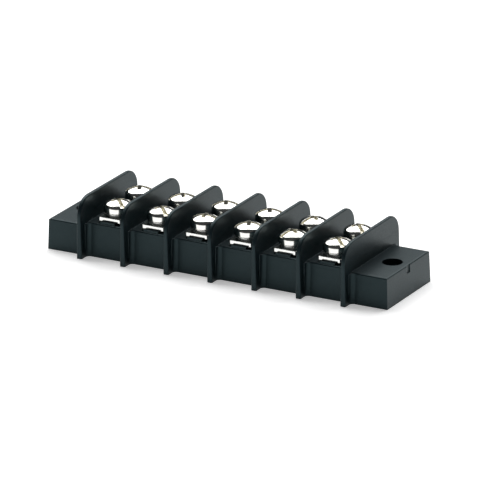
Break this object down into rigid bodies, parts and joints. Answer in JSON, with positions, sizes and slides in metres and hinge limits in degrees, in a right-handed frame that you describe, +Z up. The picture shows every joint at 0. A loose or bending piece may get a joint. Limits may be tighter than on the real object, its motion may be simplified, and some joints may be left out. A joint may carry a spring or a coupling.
{
  "type": "barrier terminal strip",
  "caption": "Double-row barrier terminal strip: black moulding with upright barriers, plated straps, and captive-washer screws that turn and lift.",
  "frame": {"origin": "middle of the underside", "axes": "+X along the strip towards the ear seen on the right, +Y across it from the front row of screws to the rear row, +Z up out of the panel"},
  "size_m": [0.0736, 0.0224, 0.0121],
  "materials": {
    "black_moulding": "fine-grained black moulding compound, satin on the barriers",
    "plated_strap": "bright nickel plate on rolled strip",
    "plated_washer": "bright nickel plate, stamped edge",
    "plated_screw": "bright nickel plate on headed steel"
  },
  "bodies": {
    "strip": {"base": "black_moulding", "strap_1": "plated_strap", "strap_2": "plated_strap", "strap_3": "plated_strap", "strap_4": "plated_strap", "strap_5": "plated_strap", "strap_6": "plated_strap"},
    "washer_body_front_1": {"washer_front_1": "plated_washer"},
    "screw_body_front_1": {"screw_front_1": "plated_screw"},
    "washer_body_front_2": {"washer_front_2": "plated_washer"},
    "screw_body_front_2": {"screw_front_2": "plated_screw"},
    "washer_body_front_3": {"washer_front_3": "plated_washer"},
    "screw_body_front_3": {"screw_front_3": "plated_screw"},
    "washer_body_front_4": {"washer_front_4": "plated_washer"},
    "screw_body_front_4": {"screw_front_4": "plated_screw"},
    "washer_body_front_5": {"washer_front_5": "plated_washer"},
    "screw_body_front_5": {"screw_front_5": "plated_screw"},
    "washer_body_front_6": {"washer_front_6": "plated_washer"},
    "screw_body_front_6": {"screw_front_6": "plated_screw"},
    "washer_body_rear_1": {"washer_rear_1": "plated_washer"},
    "screw_body_rear_1": {"screw_rear_1": "plated_screw"},
    "washer_body_rear_2": {"washer_rear_2": "plated_washer"},
    "screw_body_rear_2": {"screw_rear_2": "plated_screw"},
    "washer_body_rear_3": {"washer_rear_3": "plated_washer"},
    "screw_body_rear_3": {"screw_rear_3": "plated_screw"},
    "washer_body_rear_4": {"washer_rear_4": "plated_washer"},
    "screw_body_rear_4": {"screw_rear_4": "plated_screw"},
    "washer_body_rear_5": {"washer_rear_5": "plated_washer"},
    "screw_body_rear_5": {"screw_rear_5": "plated_screw"},
    "washer_body_rear_6": {"washer_rear_6": "plated_washer"},
    "screw_body_rear_6": {"screw_rear_6": "plated_screw"}
  },
  "joints": [
    {"name": "lift_front_1", "type": "slide", "parent": "strip", "child": "washer_body_front_1", "axis": [0, 0, 1], "range_m": [0, 0.002]},
    {"name": "turn_front_1", "type": "hinge", "parent": "washer_body_front_1", "child": "screw_body_front_1", "pos_m": [-0.02381, -0.00415, 0.0085], "axis": [0, 0, 1], "range_deg": [0, 1440]},
    {"name": "lift_front_2", "type": "slide", "parent": "strip", "child": "washer_body_front_2", "axis": [0, 0, 1], "range_m": [0, 0.002]},
    {"name": "turn_front_2", "type": "hinge", "parent": "washer_body_front_2", "child": "screw_body_front_2", "pos_m": [-0.01429, -0.00415, 0.0085], "axis": [0, 0, 1], "range_deg": [0, 1440]},
    {"name": "lift_front_3", "type": "slide", "parent": "strip", "child": "washer_body_front_3", "axis": [0, 0, 1], "range_m": [0, 0.002]},
    {"name": "turn_front_3", "type": "hinge", "parent": "washer_body_front_3", "child": "screw_body_front_3", "pos_m": [-0.00476, -0.00415, 0.0085], "axis": [0, 0, 1], "range_deg": [0, 1440]},
    {"name": "lift_front_4", "type": "slide", "parent": "strip", "child": "washer_body_front_4", "axis": [0, 0, 1], "range_m": [0, 0.002]},
    {"name": "turn_front_4", "type": "hinge", "parent": "washer_body_front_4", "child": "screw_body_front_4", "pos_m": [0.00476, -0.00415, 0.0085], "axis": [0, 0, 1], "range_deg": [0, 1440]},
    {"name": "lift_front_5", "type": "slide", "parent": "strip", "child": "washer_body_front_5", "axis": [0, 0, 1], "range_m": [0, 0.002]},
    {"name": "turn_front_5", "type": "hinge", "parent": "washer_body_front_5", "child": "screw_body_front_5", "pos_m": [0.01429, -0.00415, 0.0085], "axis": [0, 0, 1], "range_deg": [0, 1440]},
    {"name": "lift_front_6", "type": "slide", "parent": "strip", "child": "washer_body_front_6", "axis": [0, 0, 1], "range_m": [0, 0.002]},
    {"name": "turn_front_6", "type": "hinge", "parent": "washer_body_front_6", "child": "screw_body_front_6", "pos_m": [0.02381, -0.00415, 0.0085], "axis": [0, 0, 1], "range_deg": [0, 1440]},
    {"name": "lift_rear_1", "type": "slide", "parent": "strip", "child": "washer_body_rear_1", "axis": [0, 0, 1], "range_m": [0, 0.002]},
    {"name": "turn_rear_1", "type": "hinge", "parent": "washer_body_rear_1", "child": "screw_body_rear_1", "pos_m": [-0.02381, 0.00415, 0.0085], "axis": [0, 0, 1], "range_deg": [0, 1440]},
    {"name": "lift_rear_2", "type": "slide", "parent": "strip", "child": "washer_body_rear_2", "axis": [0, 0, 1], "range_m": [0, 0.002]},
    {"name": "turn_rear_2", "type": "hinge", "parent": "washer_body_rear_2", "child": "screw_body_rear_2", "pos_m": [-0.01429, 0.00415, 0.0085], "axis": [0, 0, 1], "range_deg": [0, 1440]},
    {"name": "lift_rear_3", "type": "slide", "parent": "strip", "child": "washer_body_rear_3", "axis": [0, 0, 1], "range_m": [0, 0.002]},
    {"name": "turn_rear_3", "type": "hinge", "parent": "washer_body_rear_3", "child": "screw_body_rear_3", "pos_m": [-0.00476, 0.00415, 0.0085], "axis": [0, 0, 1], "range_deg": [0, 1440]},
    {"name": "lift_rear_4", "type": "slide", "parent": "strip", "child": "washer_body_rear_4", "axis": [0, 0, 1], "range_m": [0, 0.002]},
    {"name": "turn_rear_4", "type": "hinge", "parent": "washer_body_rear_4", "child": "screw_body_rear_4", "pos_m": [0.00476, 0.00415, 0.0085], "axis": [0, 0, 1], "range_deg": [0, 1440]},
    {"name": "lift_rear_5", "type": "slide", "parent": "strip", "child": "washer_body_rear_5", "axis": [0, 0, 1], "range_m": [0, 0.002]},
    {"name": "turn_rear_5", "type": "hinge", "parent": "washer_body_rear_5", "child": "screw_body_rear_5", "pos_m": [0.01429, 0.00415, 0.0085], "axis": [0, 0, 1], "range_deg": [0, 1440]},
    {"name": "lift_rear_6", "type": "slide", "parent": "strip", "child": "washer_body_rear_6", "axis": [0, 0, 1], "range_m": [0, 0.002]},
    {"name": "turn_rear_6", "type": "hinge", "parent": "washer_body_rear_6", "child": "screw_body_rear_6", "pos_m": [0.02381, 0.00415, 0.0085], "axis": [0, 0, 1], "range_deg": [0, 1440]}
  ],
  "couplings": [
    {"joint": "turn_front_1", "follows": "lift_front_1", "rad_per_m": 12566},
    {"joint": "turn_front_2", "follows": "lift_front_2", "rad_per_m": 12566},
    {"joint": "turn_front_3", "follows": "lift_front_3", "rad_per_m": 12566},
    {"joint": "turn_front_4", "follows": "lift_front_4", "rad_per_m": 12566},
    {"joint": "turn_front_5", "follows": "lift_front_5", "rad_per_m": 12566},
    {"joint": "turn_front_6", "follows": "lift_front_6", "rad_per_m": 12566},
    {"joint": "turn_rear_1", "follows": "lift_rear_1", "rad_per_m": 12566},
    {"joint": "turn_rear_2", "follows": "lift_rear_2", "rad_per_m": 12566},
    {"joint": "turn_rear_3", "follows": "lift_rear_3", "rad_per_m": 12566},
    {"joint": "turn_rear_4", "follows": "lift_rear_4", "rad_per_m": 12566},
    {"joint": "turn_rear_5", "follows": "lift_rear_5", "rad_per_m": 12566},
    {"joint": "turn_rear_6", "follows": "lift_rear_6", "rad_per_m": 12566}
  ]
}
